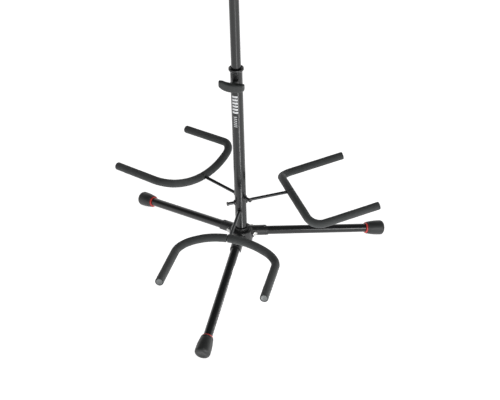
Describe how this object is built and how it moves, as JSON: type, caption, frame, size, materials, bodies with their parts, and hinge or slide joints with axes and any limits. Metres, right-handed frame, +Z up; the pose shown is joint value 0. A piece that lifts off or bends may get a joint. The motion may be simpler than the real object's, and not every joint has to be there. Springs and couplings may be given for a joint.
{
  "type": "three-guitar floor stand",
  "caption": "Folding tripod floor stand with a telescopic pole, padded U-shaped body yokes and padded neck yokes for guitars",
  "frame": {"origin": "point where the pole axis meets the floor", "axes": "+Z up along the pole, -Y along the front leg, right leg at 30 degrees from +X, left leg at 150 degrees"},
  "size_m": [0.5937, 0.5772, 0.8412],
  "materials": {
    "frame_paint": "satin black powder coat",
    "hub_paint": "black powder coat over cast metal",
    "foam": "matt closed-cell foam",
    "boot_rubber": "matt moulded rubber",
    "ring_red": "satin red plastic",
    "knob_plastic": "fine-textured glass-filled nylon",
    "bush_plastic": "satin moulded plastic",
    "cap_plastic": "satin grey plastic",
    "zinc": "bright zinc plate",
    "bare_steel": "machined steel"
  },
  "bodies": {
    "base": {"hub_body": "hub_paint", "hub_cap": "bush_plastic", "hub_bolt": "zinc", "pole_insert": "bare_steel", "arm_screws": "zinc", "leg_bolts": "zinc", "leg_nuts": "zinc", "lower_pole": "frame_paint", "rod_bushings": "bush_plastic", "collar_bush": "bush_plastic", "clamp_boss": "hub_paint"},
    "clamp_shoe": {"clamp_pad": "bush_plastic"},
    "clamp_knob": {"clamp_screw": "bare_steel", "wing_knob": "knob_plastic"},
    "mast_guide": {"guide_ring": "bush_plastic"},
    "mast": {"upper_pole": "frame_paint", "mast_plug": "bush_plastic", "head_hub": "bush_plastic", "head_cap": "bush_plastic", "head_screw": "zinc"},
    "leg_front": {"leg_tube_front": "frame_paint", "leg_knuckle_front": "bush_plastic", "foot_ring_front": "ring_red", "foot_boot_front": "boot_rubber"},
    "leg_right": {"leg_tube_right": "frame_paint", "leg_knuckle_right": "bush_plastic", "foot_ring_right": "ring_red", "foot_boot_right": "boot_rubber"},
    "leg_left": {"leg_tube_left": "frame_paint", "leg_knuckle_left": "bush_plastic", "foot_ring_left": "ring_red", "foot_boot_left": "boot_rubber"},
    "yoke_front": {"yoke_stem_front": "frame_paint", "yoke_bow_front": "frame_paint", "yoke_foam_a_front": "foam", "yoke_foam_b_front": "foam", "yoke_caps_front": "cap_plastic", "stem_stop_front": "bush_plastic"},
    "yoke_right": {"yoke_stem_right": "frame_paint", "yoke_bow_right": "frame_paint", "yoke_foam_a_right": "foam", "yoke_foam_b_right": "foam", "yoke_caps_right": "cap_plastic", "stem_stop_right": "bush_plastic"},
    "yoke_left": {"yoke_stem_left": "frame_paint", "yoke_bow_left": "frame_paint", "yoke_foam_a_left": "foam", "yoke_foam_b_left": "foam", "yoke_caps_left": "cap_plastic", "stem_stop_left": "bush_plastic"},
    "neck_front": {"neck_rod_front": "frame_paint", "neck_foam_front": "foam", "neck_caps_front": "cap_plastic"},
    "neck_right": {"neck_rod_right": "frame_paint", "neck_foam_right": "foam", "neck_caps_right": "cap_plastic"},
    "neck_left": {"neck_rod_left": "frame_paint", "neck_foam_left": "foam", "neck_caps_left": "cap_plastic"}
  },
  "joints": [
    {"name": "leg_fold_front", "type": "hinge", "parent": "base", "child": "leg_front", "pos_m": [0, -0.027, 0.074], "axis": [1, 0, 0], "range_deg": [0, 78.6]},
    {"name": "leg_fold_right", "type": "hinge", "parent": "base", "child": "leg_right", "pos_m": [0.02338, 0.0135, 0.074], "axis": [-0.5, 0.866, 0], "range_deg": [0, 78.6]},
    {"name": "leg_fold_left", "type": "hinge", "parent": "base", "child": "leg_left", "pos_m": [-0.02338, 0.0135, 0.074], "axis": [-0.5, -0.866, 0], "range_deg": [0, 78.6]},
    {"name": "yoke_roll_front", "type": "hinge", "parent": "base", "child": "yoke_front", "pos_m": [0, 0, 0.141], "axis": [0.0349, -0.9994, 0], "range_deg": [-45, 45]},
    {"name": "yoke_roll_right", "type": "hinge", "parent": "base", "child": "yoke_right", "pos_m": [0, 0, 0.157], "axis": [0.8526, 0.5225, 0], "range_deg": [-45, 45]},
    {"name": "yoke_roll_left", "type": "hinge", "parent": "base", "child": "yoke_left", "pos_m": [0, 0, 0.173], "axis": [-0.866, 0.5, 0], "range_deg": [-45, 45]},
    {"name": "mast_height", "type": "slide", "parent": "base", "child": "mast_guide", "axis": [0, 0, 1], "range_m": [-0.13, 0.095]},
    {"name": "mast_turn", "type": "hinge", "parent": "mast_guide", "child": "mast", "pos_m": [0, 0, 0.329], "axis": [0, 0, 1], "continuous": true},
    {"name": "clamp_travel", "type": "slide", "parent": "base", "child": "clamp_shoe", "axis": [0, -1, 0], "range_m": [0, 0.00126]},
    {"name": "clamp_turn", "type": "hinge", "parent": "clamp_shoe", "child": "clamp_knob", "pos_m": [0, -0.028, 0.452], "axis": [0, -1, 0], "range_deg": [0, 360]},
    {"name": "neck_roll_front", "type": "hinge", "parent": "mast", "child": "neck_front", "pos_m": [0, 0, 0.818], "axis": [0.0349, -0.9994, 0], "range_deg": [-90, 90]},
    {"name": "neck_roll_right", "type": "hinge", "parent": "mast", "child": "neck_right", "pos_m": [0, 0, 0.818], "axis": [0.8526, 0.5225, 0], "range_deg": [-90, 90]},
    {"name": "neck_roll_left", "type": "hinge", "parent": "mast", "child": "neck_left", "pos_m": [0, 0, 0.818], "axis": [-0.866, 0.5, 0], "range_deg": [-90, 90]}
  ],
  "couplings": [
    {"joint": "clamp_travel", "follows": "clamp_turn", "m_per_rad": 0.00019894}
  ]
}
